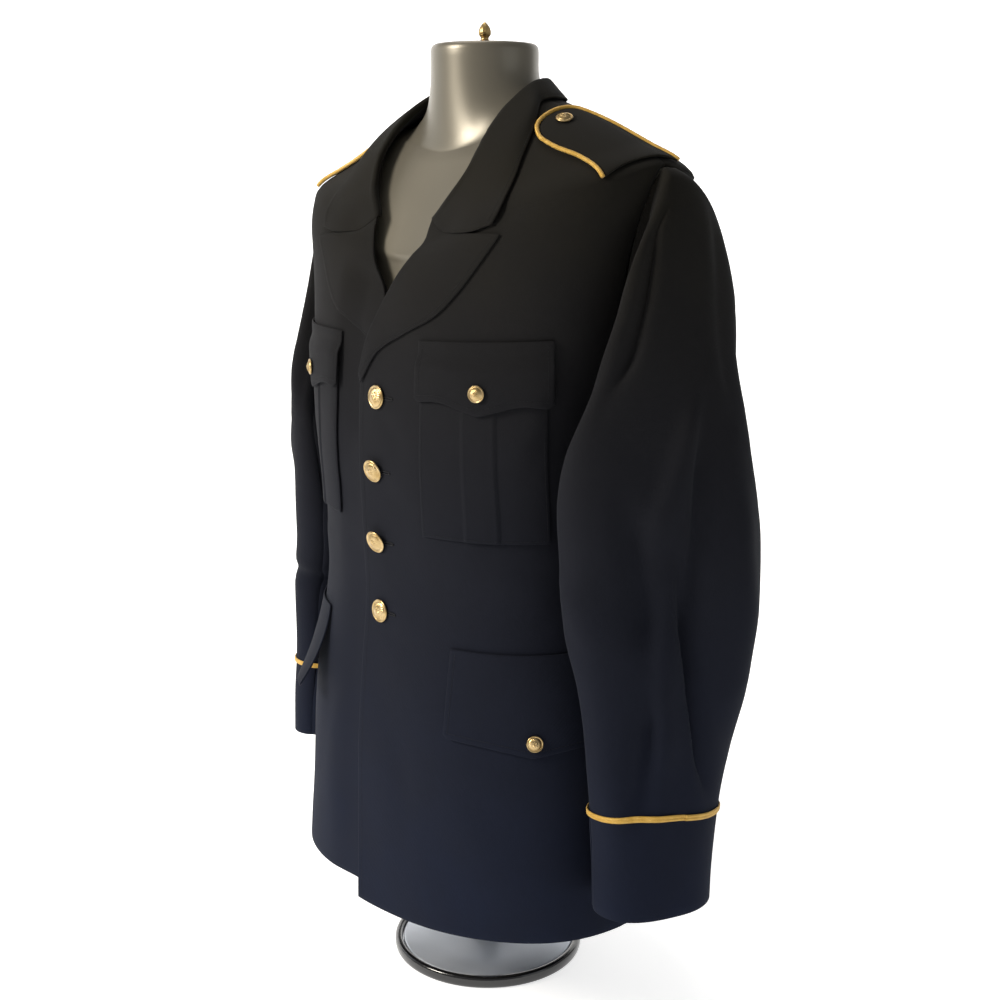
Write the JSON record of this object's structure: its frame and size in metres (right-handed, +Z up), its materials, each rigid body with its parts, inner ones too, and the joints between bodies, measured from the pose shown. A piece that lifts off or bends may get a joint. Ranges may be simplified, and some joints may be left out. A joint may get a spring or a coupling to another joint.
{
  "type": "dress uniform jacket on limbless torso form",
  "caption": "Single-breasted dress uniform jacket with notched lapels, piped shoulder straps, patch pockets and cuff braid, worn by a smooth limbless torso form on a round disc base",
  "frame": {"origin": "centre of the whole object's box, at the underside of the disc base", "axes": "+Z up, -Y the way the jacket's front faces, +X towards the wearer's left sleeve"},
  "size_m": [0.5972, 0.332, 0.964],
  "materials": {
    "wool": "matte dark blue-black uniform wool",
    "gold_braid": "gold braid and piping",
    "gilt": "bright gilt",
    "form_shell": "satin warm grey",
    "plate": "brushed grey",
    "black_gloss": "gloss black",
    "aged_brass": "aged brass"
  },
  "bodies": {
    "root": {"front_left": "wool", "front_right": "wool", "side_left": "wool", "side_right": "wool", "back_left": "wool", "back_right": "wool", "sleeve_top_left": "wool", "sleeve_top_right": "wool", "sleeve_under_left": "wool", "sleeve_under_right": "wool", "collar": "wool", "lapel_left": "wool", "lapel_right": "wool", "breast_pocket_left": "wool", "breast_pocket_right": "wool", "breast_flap_left": "wool", "breast_flap_right": "wool", "hip_flap_left": "wool", "hip_flap_right": "wool", "epaulet_left": "wool", "epaulet_right": "wool", "epaulet_piping_left": "gold_braid", "epaulet_piping_right": "gold_braid", "cuff_braid_left": "gold_braid", "cuff_braid_right": "gold_braid", "front_button_1": "gilt", "front_button_2": "gilt", "front_button_3": "gilt", "front_button_4": "gilt", "breast_button_left": "gilt", "breast_button_right": "gilt", "hip_button_left": "gilt", "hip_button_right": "gilt", "epaulet_button_left": "gilt", "epaulet_button_right": "gilt", "torso_form": "form_shell", "base_plate": "plate", "base_rim": "black_gloss", "finial": "aged_brass"}
  },
  "joints": []
}
